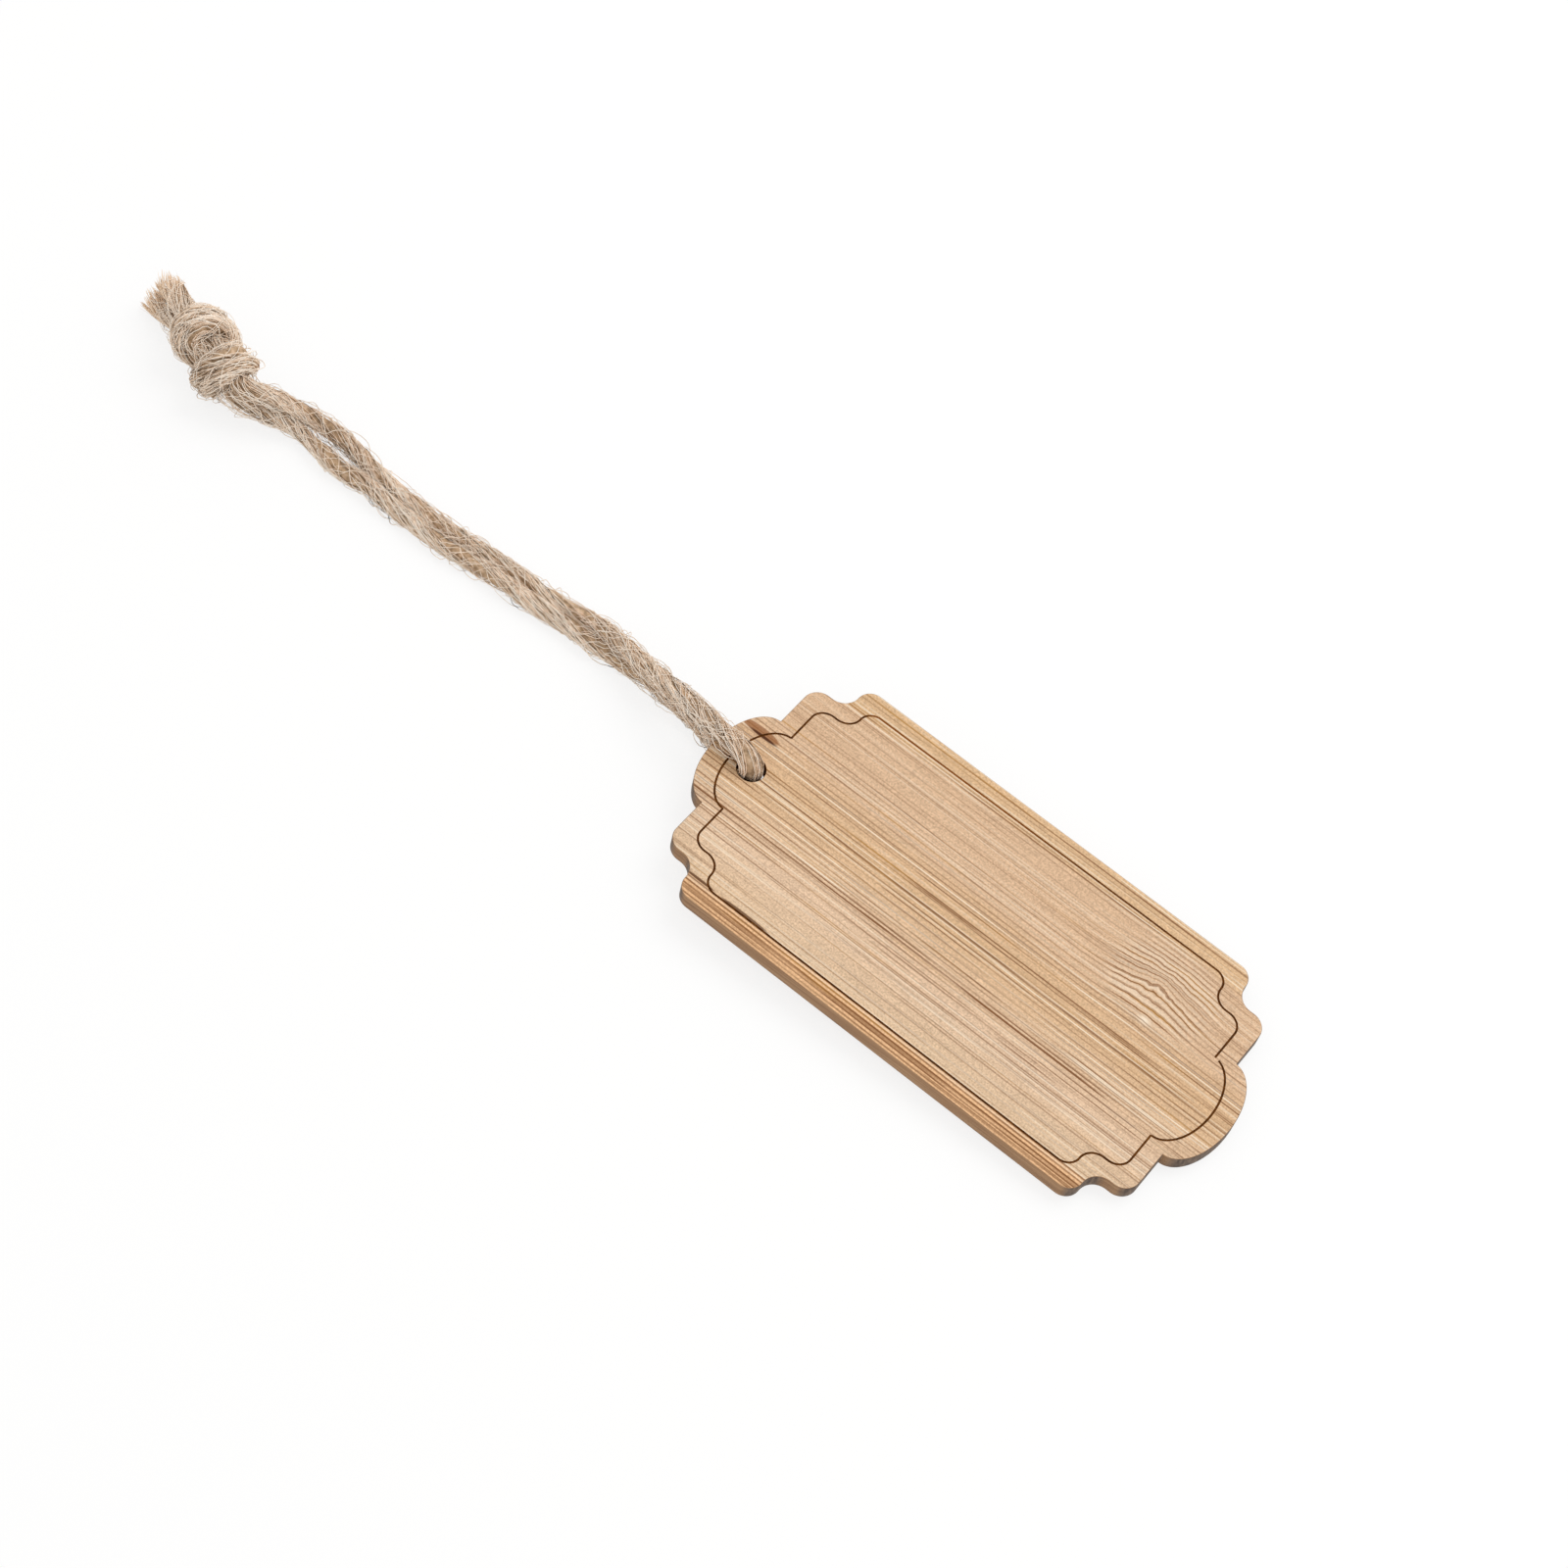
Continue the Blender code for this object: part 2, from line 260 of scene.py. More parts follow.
# how the two legs lie together, in mm
leanSet = dict(
    start=9,                # from the hole
    stop=1,                 # short of the knot
    reach=3.4,              # further apart than this they don't lean
    touching=1.8,           # centre to centre
    press=0.38,
    partAt=-89.4,           # the legs part here and leave a slit
    partHalf=1.6,
    partFade=3,
    part=0.2,
    sink=0.32,              # the twine sits flat where it crosses the board's edge
    sinkAt=(0.8, 2.5, 9, 15),
    smooth=13,
)


def leaned(route, other, knotAt, sinks):
    ls = leanSet
    run = travelled(route)
    shift = np.zeros_like(route)
    for k, point in enumerate(route):
        if ls["start"] < run[k] < knotAt - ls["stop"]:
            apart = other - point
            reach = np.linalg.norm(apart, axis=1)
            near = reach.argmin()
            if reach[near] < ls["reach"]:
                lean = np.clip((reach[near] - ls["touching"]) / 2, 0, ls["press"])
                close = np.clip((abs(point[0] - ls["partAt"]) - ls["partHalf"]) / ls["partFade"], 0, 1)
                lean = lean * close - ls["part"] * (1 - close)
                shift[k] = apart[near] / reach[near] * lean
    if sinks:
        shift[:, 2] -= ls["sink"] * np.interp(run, ls["sinkAt"], [0, 1, 1, 0])
    width = np.ones(ls["smooth"]) / ls["smooth"]
    return route + np.stack([np.convolve(shift[:, k], width, "same") for k in range(3)], axis=1)


overLine = leaned(overRoute, underRoute, overKnotAt, True)
underLine = leaned(underRoute, overRoute, underKnotAt, False)

# jute: a soft core in a dark tone that is painted shade in the gaps between the fibres, wound fibres, a
# frayed tail, loose fibres that cross them, and short fuzz
# lengths are in mm, out is a share of the strand's radius, a wave is its height and length
fibreSet = dict(
    lay=19.0,               # one turn of twist
    knotRun=41.6,           # length of a strand in the knot
    spare=1.5,              # room for ragged ends
    warmTip=4,              # the cut end is warmer in colour
    lowest=0.02,            # nothing sinks into the table
    corners=(0, 2.094, 4.189),      # a fibre is three-sided
    slant=(0.31, 0.52, 0.79),
    taper=(0.35, 1.6),
    # the core's low tone is painted shade, seen in the gaps between the fibres
    core=dict(sides=14, step=0.5, start=0.2, stop=2.6, out=0.76, lumps=(0.05, 9), tone=0.2),
    wound=dict(atOnce=84,           # fibres side by side in the twine
               locks=11, lockSpread=0.34, run=(14, 40), shortest=2.5, step=0.7, ragged=(-1.2, 0.5),
               thick=(0.046, 0.08), wander=(0.3, 12), out=(0.74, 1.04), lift=(0.05, 7),
               tone=(0.68, 0.34), toneLimits=(0.02, 1.0)),
    brush=dict(count=80, start=(0, 3), ragged=(-0.8, 0.7), points=12, wander=(0.12, 8),
               fill=(0.05, 1.1), lift=(0.05, 6), tone=(0.5, 1.0)),
    loose=dict(count=400, run=(2.5, 9), start=3, step=0.36, thick=(0.032, 0.056), slant=(0.05, 0.8),
               wander=(0.28, 5.0), out=1.02, arch=(0.1, 0.8), archPower=1.8, lift=(0.03, 4.0),
               tone=(0.76, 1.0)),
    fuzz=dict(count=520, run=(0.7, 2.4), start=4, stop=1, points=6, thick=0.014, turn=0.5, out=0.97,
              rise=(0.1, 0.55), risePower=1.3, tone=(0.6, 1.0)),
)
# along each strand: distance past a landmark, radius, both in mm, and how flat it lies
strandShapes = dict(
    twineOver=[("hole", 0, 1.3, 1), ("hole", 1.5, 1.36, 0.9), ("hole", 3.5, 1.24, 0.74),
               ("hole", 9, 1.12, 0.74), ("hole", 14, 0.97, 1),
               ("knot", -8, 0.97, 1), ("knot", -2, 1.35, 1), ("knot", 1, 1.5, 1), ("knot", 6, 1.14, 1),
               ("knot", 26, 1.14, 1), ("knot", 29, 0.85, 1),    # drawn in where the knot's band turns under
               ("knot", 33, 0.85, 1), ("knot", 36, 1.14, 1),
               ("knotEnd", -4, 1.14, 1), ("knotEnd", 0, 1.2, 1), ("tip", -3, 1.25, 1), ("tip", 0, 1.32, 1)],
    twineUnder=[("hole", 0, 1.1, 1), ("hole", 1.5, 1.0, 1), ("hole", 3.5, 0.97, 1),
                ("hole", 9, 0.97, 1), ("hole", 14, 0.97, 1),
                ("knot", -8, 0.97, 1), ("knot", -2, 1.45, 1), ("knot", 1, 1.72, 1), ("knot", 6, 1.25, 1),
                ("knotEnd", -4, 1.14, 1), ("knotEnd", 0, 1.2, 1), ("tip", -3, 1.25, 1), ("tip", 0, 1.32, 1)],
)


# two directions across the route that don't twist along it
def routeFrame(route):
    along = np.gradient(route, axis=0)
    along /= np.linalg.norm(along, axis=1)[:, None]
    side = np.cross(along[0], (0, 0, 1.0))
    if np.linalg.norm(side) < 0.1:
        side = np.array((0, 1.0, 0))
    sides = []
    for step in along:
        side = side - step * side.dot(step)
        side /= np.linalg.norm(side)
        sides.append(side)
    sides = np.array(sides)
    return sides, np.cross(along, sides)


def wave(along, size, reach):
    total = 0
    for k in (1, 2.3, 4.7):
        total = total + np.sin(along * k * 2 * math.pi / reach + rng.uniform(0, wholeTurn)) / k
    return size * total / 1.3


def strandMesh(name, lines, core):
    # the core tube comes first, its dark tone painted shade between the fibres
    verts, faces, tones, warms = [core[0]], [core[1]], [core[2]], [np.zeros(len(core[0]))]
    count = len(core[0])
    blunt, taper = fibreSet["taper"]
    for line, thick, tone, warm in lines:
        steps = len(line)
        along = np.gradient(line, axis=0)
        along /= np.linalg.norm(along, axis=1)[:, None] + 1e-12
        first = np.cross(along, fibreSet["slant"])
        first /= np.linalg.norm(first, axis=1)[:, None] + 1e-12
        second = np.cross(along, first)
        ends = np.minimum(np.arange(steps), np.arange(steps)[::-1])
        size = (thick * np.clip((ends + blunt) / taper, 0, 1))[:, None]
        ring = [line + size * (first * math.cos(a) + second * math.sin(a)) for a in fibreSet["corners"]]
        verts.append(np.stack(ring, axis=1).reshape(-1, 3))
        rows = count + 3 * np.arange(steps - 1)
        for k in range(3):
            beside = (k + 1) % 3
            faces.append(np.stack([rows + k, rows + beside, rows + 3 + beside, rows + 3 + k], axis=1))
        tones.append(np.full(3 * steps, tone))
        warms.append(np.repeat(warm, 3))
        count += 3 * steps
    verts = np.concatenate(verts)
    verts[:, 2] = np.maximum(verts[:, 2], fibreSet["lowest"])
    mesh = bpy.data.meshes.new(name)
    mesh.from_pydata((verts * mm).tolist(), [], np.concatenate(faces).tolist())
    for key, values in (("tone", tones), ("warm", warms)):
        values = np.concatenate(values).astype(np.float32)
        mesh.attributes.new(key, "FLOAT", "POINT").data.foreach_set("value", values)
    piece = bpy.data.objects.new(name, mesh)
    scene.collection.objects.link(piece)
    pickOnly(piece)
    bpy.ops.object.shade_smooth()
    return piece


def makeTwine(name, route, knotAt):
    fs = fibreSet
    core, wound, brush, loose, fuzz = fs["core"], fs["wound"], fs["brush"], fs["loose"], fs["fuzz"]
    total = travelled(route)[-1]
    last = route[-1] - route[-4]
    route = np.vstack([route, route[-1] + fs["spare"] * last / np.linalg.norm(last)])
    run = travelled(route)
    sides, ups = routeFrame(route)
    landmarks = dict(hole=0, knot=knotAt, knotEnd=knotAt + fs["knotRun"], tip=total)
    marks = [landmarks[place] + past for place, past, radius, flat in strandShapes[name]]
    sizes = [radius for place, past, radius, flat in strandShapes[name]]
    flats = [flat for place, past, radius, flat in strandShapes[name]]

    def at(s, turn, out):
        centre = np.stack([np.interp(s, run, route[:, k]) for k in range(3)], axis=1)
        side = np.stack([np.interp(s, run, sides[:, k]) for k in range(3)], axis=1)
        up = np.stack([np.interp(s, run, ups[:, k]) for k in range(3)], axis=1)
        size = np.interp(s, marks, sizes) * out
        flat = np.interp(s, marks, flats)
        return centre + side * (size * np.cos(turn))[:, None] + up * (size * flat * np.sin(turn))[:, None]

    def tipWarm(s):
        return np.clip((s - total + fs["warmTip"]) / fs["warmTip"], 0, 1)

    # core tube, a little lumpy, in a dark tone that is painted shade showing between the fibres
    coreRun = np.linspace(core["start"], total - core["stop"], int(total / core["step"]))
    coreSides = core["sides"]
    lumps = [wave(coreRun, *core["lumps"]) for k in range(coreSides)]
    rings = []
    for k in range(coreSides):
        turn = 2 * math.pi * coreRun / fs["lay"] + 2 * math.pi * k / coreSides
        rings.append(at(coreRun, turn, core["out"] + lumps[k]))
    coreVerts = np.stack(rings, axis=1).reshape(-1, 3)
    rows = coreSides * np.arange(len(coreRun) - 1)
    coreFaces = []
    for k in range(coreSides):
        beside = (k + 1) % coreSides
        coreFaces.append(np.stack([rows + k, rows + beside, rows + coreSides + beside, rows + coreSides + k],
                                  axis=1))
    paintedShadeTube = (coreVerts, np.concatenate(coreFaces), np.full(len(coreVerts), core["tone"]))

    # wound fibres, gathered in locks
    lines = []
    locks = rng.uniform(0, wholeTurn, wound["locks"])
    meanRun = sum(wound["run"]) / 2
    for k in range(int(wound["atOnce"] * (total + meanRun) / meanRun)):
        length = rng.uniform(*wound["run"])
        start = rng.uniform(-length, total)
        ragged = total + rng.uniform(*wound["ragged"])
        low, high = max(start, 0), min(start + length, ragged)
        if high - low < wound["shortest"]:
            continue
        s = np.linspace(low, high, int((high - low) / wound["step"]) + 2)
        lock = locks[k % len(locks)]
        turn = lock + rng.normal(0, wound["lockSpread"]) + 2 * math.pi * s / fs["lay"]
        turn = turn + wave(s, *wound["wander"])
        out = rng.uniform(*wound["out"]) + wave(s, *wound["lift"])
        thick = rng.uniform(*wound["thick"])
        tone = np.clip(rng.normal(*wound["tone"]), *wound["toneLimits"])
        lines.append((at(s, turn, out), thick, tone, tipWarm(s)))
    # extra fibres in the frayed tail
    for k in range(brush["count"]):
        s = np.linspace(landmarks["knotEnd"] - rng.uniform(*brush["start"]),
                        total + rng.uniform(*brush["ragged"]), brush["points"])
        turn = rng.uniform(0, wholeTurn) + 2 * math.pi * s / fs["lay"] + wave(s, *brush["wander"])
        out = math.sqrt(rng.uniform(*brush["fill"])) + wave(s, *brush["lift"])
        thick = rng.uniform(*wound["thick"])
        lines.append((at(s, turn, out), thick, rng.uniform(*brush["tone"]), tipWarm(s)))
    # loose fibres that arch across the others
    for k in range(loose["count"]):
        length = rng.uniform(*loose["run"])
        low = rng.uniform(loose["start"], total - length)
        s = np.linspace(low, low + length, int(length / loose["step"]) + 3)
        arch = np.sin(np.linspace(0, math.pi, len(s)))
        turn = rng.uniform(0, wholeTurn) + rng.choice((-1, 1)) * rng.uniform(*loose["slant"]) * (s - low)
        turn = turn + wave(s, *loose["wander"])
        out = loose["out"] + arch * rng.uniform(*loose["arch"]) ** loose["archPower"]
        out = out + wave(s, *loose["lift"])
        lines.append((at(s, turn, out), rng.uniform(*loose["thick"]), rng.uniform(*loose["tone"]), 0 * s))
    # short fuzz that stands off
    for k in range(fuzz["count"]):
        length = rng.uniform(*fuzz["run"])
        low = rng.uniform(fuzz["start"], total - fuzz["stop"])
        s = np.clip(low + np.linspace(0, length, fuzz["points"]), 0, total)
        grown = np.linspace(0, 1, fuzz["points"])
        turn = rng.uniform(0, wholeTurn) + rng.normal(0, fuzz["turn"]) * grown
        out = fuzz["out"] + grown ** fuzz["risePower"] * rng.uniform(*fuzz["rise"])
        lines.append((at(s, turn, out), fuzz["thick"], rng.uniform(*fuzz["tone"]), 0 * s))
    piece = strandMesh(name, lines, paintedShadeTube)
    print(name, "fibres:", len(lines), "triangles:", sum(len(p.vertices) - 2 for p in piece.data.polygons))
    return piece


twineOver = makeTwine("twineOver", overLine, overKnotAt)
twineUnder = makeTwine("twineUnder", underLine, underKnotAt)

# jute twine: dry, matt, straw to grey-brown bast fibres with paler loose ones
juteSet = dict(
    stops=[(0.0, "735b43"), (0.25, "c3a585"), (0.5, "f3d8be"), (0.75, "ffebd6"), (1.0, "fff4e6")],
    tip="ffd9ac",
    tipShare=0.5,
    fleck=0.6,              # mm, patches of colour along a fibre
    fleckShift=0.14,
    roughness=0.9,
    gloss=0.1,
    sheen=0.45,
    sheenTint="fae2c8",
)
jute, tree, shader = newMaterial("juteTwine")
tone = addNode(tree, "ShaderNodeAttribute", attribute_name="tone")
place = addNode(tree, "ShaderNodeTexCoord")
patch = addNode(tree, "ShaderNodeTexNoise", {"Vector": place.outputs["Object"],
                                             "Scale": 1 / (juteSet["fleck"] * mm), "Detail": 2.0})
shift = addNode(tree, "ShaderNodeMapRange", {0: patch.outputs["Fac"], 1: 0.3, 2: 0.7,
                                             3: -juteSet["fleckShift"], 4: juteSet["fleckShift"]})
mixed = addNode(tree, "ShaderNodeMath", {0: tone.outputs["Fac"], 1: shift.outputs[0]}, operation="ADD")
colour = addNode(tree, "ShaderNodeValToRGB", {"Fac": mixed.outputs[0]})
setStops(colour, juteSet["stops"])
warm = addNode(tree, "ShaderNodeAttribute", attribute_name="warm")
warmShare = addNode(tree, "ShaderNodeMath", {0: warm.outputs["Fac"], 1: juteSet["tipShare"]},
                    operation="MULTIPLY")
tipped = addNode(tree, "ShaderNodeMix", {0: warmShare.outputs[0], 6: colour.outputs[0],
                                         7: linear(juteSet["tip"])}, data_type="RGBA")
tree.links.new(tipped.outputs[2], shader.inputs["Base Color"])
shader.inputs["Roughness"].default_value = juteSet["roughness"]
shader.inputs["Specular IOR Level"].default_value = juteSet["gloss"]
shader.inputs["Sheen Weight"].default_value = juteSet["sheen"]
shader.inputs["Sheen Tint"].default_value = linear(juteSet["sheenTint"])
for piece in (twineOver, twineUnder):
    piece.data.materials.append(jute)
print("jute made")

# outline of the board, one quarter and its mirror images, in mm
boardSet = dict(
    lobeReach=3.65,
    lobeHalf=6.72,
    notchLength=4.32,
    notchWidth=3.75,
    endCorner=1.85,
    scoop=1.97,
    sideCorner=1.73,
    lobeSteps=44,
    arcSteps=18,
    arris=0.06,
    arrisAngle=math.radians(60),
    smoothAngle=math.radians(35),
    flatFace=0.97,          # a face that points up or down more than this is sanded, not cut
    holeSides=96,
    rimChar=0.1,
)


def boardOutline():
    b = boardSet
    shoulder = layoutSet["halfLength"] - b["lobeReach"]
    stepX = shoulder - b["notchLength"]
    stepY = layoutSet["halfWidth"] - b["notchWidth"]
    corner, scoop, side = b["endCorner"], b["scoop"], b["sideCorner"]
    quarter = []
    for cx, cy, rx, ry, start, end, steps in (
            (shoulder, 0, b["lobeReach"], b["lobeHalf"], 0, 90, b["lobeSteps"]),
            (shoulder - corner, stepY - corner, corner, corner, 0, 90, b["arcSteps"]),
            (stepX + scoop, stepY + scoop, scoop, scoop, 270, 180, b["arcSteps"]),
            (stepX - side, layoutSet["halfWidth"] - side, side, side, 0, 90, b["arcSteps"])):
        for angle in np.radians(np.linspace(start, end, steps + 1)):
            quarter.append((cx + rx * math.cos(angle), cy + ry * math.sin(angle)))
    half = quarter + [(-x, y) for x, y in reversed(quarter)]
    return half + [(-x, -y) for x, y in half[1:-1]]


outline = boardOutline()
bpy.ops.object.select_all(action="DESELECT")
bpy.ops.mesh.primitive_circle_add(vertices=len(outline), radius=layoutSet["halfLength"] * mm,
                                  fill_type="NGON")
board = bpy.context.object
board.name = "bambooBoard"
for vert, (x, y) in zip(board.data.vertices, outline):
    vert.co = (x * mm, y * mm, 0)
bpy.ops.object.mode_set(mode="EDIT")
bpy.ops.mesh.select_all(action="SELECT")
bpy.ops.mesh.extrude_region_move(TRANSFORM_OT_translate={"value": (0, 0, layoutSet["thickness"] * mm)})
bpy.ops.mesh.select_all(action="SELECT")
bpy.ops.mesh.normals_make_consistent(inside=False)
bpy.ops.object.mode_set(mode="OBJECT")
edge = board.modifiers.new("arris", "BEVEL")
edge.width = boardSet["arris"] * mm
edge.segments = 2
edge.limit_method = "ANGLE"
edge.angle_limit = boardSet["arrisAngle"]
bpy.ops.object.modifier_apply(modifier="arris")
print("board outline points:", len(outline))

# bamboo, sanded flat: pale straw ground, long fibres, darker bundles that come and go; sizes in mm
bambooSet = dict(
    # colour of the split cane across the board
    bands=[(-16.5, "e8ba8d"), (-14.4, "e8ba8d"), (-14.0, "d9ba98"), (-8.0, "dfbfa0"), (-3.6, "dab793"),
           (-0.5, "d4af87"), (3.6, "d8b48f"), (4.6, "d8b593"), (13.2, "d6b391"), (14.0, "d6b28a"),
           (16.5, "d6b28a")],
    # where each bundle lies, half its width, and its strength
    bundles=[(15.7, 0.12, 0.75), (15.2, 0.09, 0.4), (13.55, 0.12, 0.75), (12.9, 0.1, 0.45), (11.3, 0.09, 0.4),
             (9.9, 0.09, 0.3), (8.4, 0.1, 0.35), (6.9, 0.11, 0.6), (6.4, 0.1, 0.5), (5.2, 0.11, 0.65),
             (4.7, 0.09, 0.4), (3.55, 0.12, 0.5), (3.0, 0.12, 0.6), (2.1, 0.09, 0.45), (1.0, 0.12, 0.8),
             (0.6, 0.1, 0.6), (-0.45, 0.12, 0.85), (-1.3, 0.11, 0.7), (-1.8, 0.09, 0.45), (-2.55, 0.12, 0.6),
             (-3.3, 0.1, 0.5), (-4.0, 0.12, 0.75), (-4.45, 0.1, 0.5), (-5.1, 0.12, 0.55), (-5.65, 0.11, 0.5),
             (-6.25, 0.12, 0.75), (-7.2, 0.11, 0.65), (-8.1, 0.09, 0.4), (-8.7, 0.11, 0.6),
             (-9.6, 0.09, 0.35), (-10.6, 0.1, 0.45), (-11.9, 0.09, 0.35), (-13.0, 0.09, 0.3)],
    bundlesFade=(0.32, 0.54, 0.3, "SMOOTHSTEP"),
    seams=[(-14.35, 0.13, 0.75), (-14.8, 0.14, 0.8), (-15.25, 0.15, 0.9), (-15.7, 0.14, 0.85),
           (-16.15, 0.12, 0.7)],
    seamsFade=(0.3, 0.5, 0.45, "LINEAR"),
    fade=(22, 0.7),
    perRamp=7,              # a ramp has few steps, so each covers a narrow span
    rampSpare=0.3,
    # share of single fibres that show, across the board
    density=[(-16.5, 0.7), (-14.2, 0.7), (-13.8, 0.5), (-8.5, 0.65), (-6.8, 1.0), (-3.4, 1.0), (-2.4, 1.0),
             (3.2, 0.95), (5.0, 0.5), (12.8, 0.42), (13.6, 0.9), (16.5, 0.9)],
    rows=[(0.17, 3.0), (0.23, 40.0)],       # width of a fibre row and where its pattern starts
    rowRun=17.0,
    rowShown=(0.4, 0.56),
    darkRows=(0.77, 0.92, 0.9),             # chance at which they start and are full, strength
    paleRows=(0.2, 0.04, 0.8),
    dark="713f0f",
    ochre="ab7722",
    ochreShare=(0.54, 0.66),
    pale="f7e7cf",
    streak=(34.0, 1.1),                     # length and width of the broad streaks
    streakGain=(0.95, 1.03),
    fine=(18.0, 0.17),
    fineGain=(0.9, 1.08),
    speckle=0.2,
    speckleGain=(0.76, 1.22),
    drift=(36, 7, 0.12),                    # length, width and height of the fibres' sway
    knuckle=((19.2, 8.6), (10.5, 8.0), 1.6),        # middle, half size, lift of the fibres
    crinkle=(2.6, 3.4),
    crinkleLift=(0.74, 1.26),
    knuckleEdge=(0.03, 0.26),
    knuckleRow=0.64,
    ringDark=(0.14, 0.05, 0.9),
    ringPale=(0.2, 0.34, 0.4),
    ringPatch=(0.36, 0.56, 0.4),
    paleSpot=((19.8, 4.3), (1.2, 0.8)),
    marks=[((-30.6, 4.3), (2.9, 0.66), (0.06, 0.26, 0.74), "8c5120"),       # resin stain beside the hole
           ((-29.9, 3.92), (2.4, 0.26), (0.05, 0.5, 0.95), "4b2408"),       # its dark lower edge
           ((-24.2, -14.02), (2.6, 0.2), (0.05, 0.4, 0.9), "5b3210"),       # the laser overran its corner
           ((-18.2, -14.08), (3.9, 0.25), (0.05, 0.4, 0.85), "57300f")],    # and slowed along the side
    roughness=(0.62, 0.48),
    gloss=0.1,
    relief=(0.25, 0.05),
)
bamboo, tree, shader = newMaterial("sandedBamboo")
bs = bambooSet
halfWidth = layoutSet["halfWidth"]
place = addNode(tree, "ShaderNodeTexCoord")
inMm = addNode(tree, "ShaderNodeVectorMath", {0: place.outputs["Object"], "Scale": 1 / mm},
               operation="SCALE").outputs[0]
split = addNode(tree, "ShaderNodeSeparateXYZ", {0: inMm})
alongX, acrossY, upZ = split.outputs[0], split.outputs[1], split.outputs[2]
# the knuckle of the cane lifts the fibres into a low wavy arch
centre, reach, lift = bs["knuckle"]
blob = ovalPatch(tree, inMm, centre, reach, "QUADRATIC_SPHERE")
length, width = bs["crinkle"]
crinkleAt = addNode(tree, "ShaderNodeMapping", {"Vector": inMm, "Scale": (1 / length, 1 / width, 0.3)})
crinkle = addNode(tree, "ShaderNodeTexNoise", {"Vector": crinkleAt.outputs[0], "Scale": 1.0, "Detail": 3.0,
                                               "Roughness": 0.55})
low, high = bs["crinkleLift"]
crinkled = addNode(tree, "ShaderNodeMapRange", {0: crinkle.outputs["Fac"], 1: 0.25, 2: 0.75, 3: low * lift,
                                                4: high * lift})
bulge = addNode(tree, "ShaderNodeMath", {0: blob, 1: crinkled.outputs[0]}, operation="MULTIPLY")
length, width, sway = bs["drift"]
driftAt = addNode(tree, "ShaderNodeMapping", {"Vector": inMm, "Scale": (1 / length, 1 / width, 0.2)})
drift = addNode(tree, "ShaderNodeTexNoise", {"Vector": driftAt.outputs[0], "Scale": 1.0, "Detail": 1.0})
drifted = addNode(tree, "ShaderNodeMapRange", {0: drift.outputs["Fac"], 1: 0.0, 2: 1.0, 3: -sway, 4: sway})
lowered = addNode(tree, "ShaderNodeMath", {0: acrossY, 1: bulge.outputs[0]}, operation="SUBTRACT")
fibreY = addNode(tree, "ShaderNodeMath", {0: lowered.outputs[0], 1: drifted.outputs[0]},
                 operation="ADD").outputs[0]
fibreAt = addNode(tree, "ShaderNodeCombineXYZ", {0: alongX, 1: fibreY, 2: upZ}).outputs[0]
# broad and fine streaks
layers = {}
for name, detail in (("streak", 3.0), ("fine", 2.0)):
    length, width = bs[name]
    scaled = addNode(tree, "ShaderNodeMapping", {"Vector": fibreAt,
                                                 "Scale": (1 / length, 1 / width, 1 / width)})
    layers[name] = addNode(tree, "ShaderNodeTexNoise", {"Vector": scaled.outputs[0], "Scale": 1.0,
                                                        "Detail": detail, "Roughness": 0.6}).outputs["Fac"]
# rows of single fibres, a few dark, a few pale, each fading in and out along its length
singles = dict(darkRows=0.0, paleRows=0.0)
for width, start in bs["rows"]:
    counted = addNode(tree, "ShaderNodeMath", {0: fibreY, 1: 1 / width, 2: start}, operation="MULTIPLY_ADD")
    row = addNode(tree, "ShaderNodeMath", {0: counted.outputs[0]}, operation="FLOOR")
    inRow = addNode(tree, "ShaderNodeMath", {0: counted.outputs[0], 1: 0.5}, operation="PINGPONG")
    soft = addNode(tree, "ShaderNodeMapRange", {0: inRow.outputs[0], 1: 0.0, 2: 0.3, 3: 0.0, 4: 1.0},
                   interpolation_type="SMOOTHSTEP")
    chance = addNode(tree, "ShaderNodeTexWhiteNoise", {"W": row.outputs[0]}, noise_dimensions="1D")
    runX = addNode(tree, "ShaderNodeMath", {0: alongX, 1: 1 / bs["rowRun"]}, operation="MULTIPLY")
    runAt = addNode(tree, "ShaderNodeCombineXYZ", {0: runX.outputs[0], 1: row.outputs[0], 2: start + 0.37})
    comes = addNode(tree, "ShaderNodeTexNoise", {"Vector": runAt.outputs[0], "Scale": 1.0, "Detail": 1.0})
    low, high = bs["rowShown"]
    shown = addNode(tree, "ShaderNodeMapRange", {0: comes.outputs["Fac"], 1: low, 2: high, 3: 0.0, 4: 1.0},
                    interpolation_type="SMOOTHSTEP")
    shown = addNode(tree, "ShaderNodeMath", {0: shown.outputs[0], 1: soft.outputs[0]}, operation="MULTIPLY")
    for kind in singles:
        low, high, full = bs[kind]
        picked = addNode(tree, "ShaderNodeMapRange", {0: chance.outputs["Value"], 1: low, 2: high,
                                                      3: 0.0, 4: full})
        picked = addNode(tree, "ShaderNodeMath", {0: picked.outputs[0], 1: shown.outputs[0]},
                         operation="MULTIPLY")
        singles[kind] = addNode(tree, "ShaderNodeMath", {0: singles[kind], 1: picked.outputs[0]},
                                operation="MAXIMUM").outputs[0]
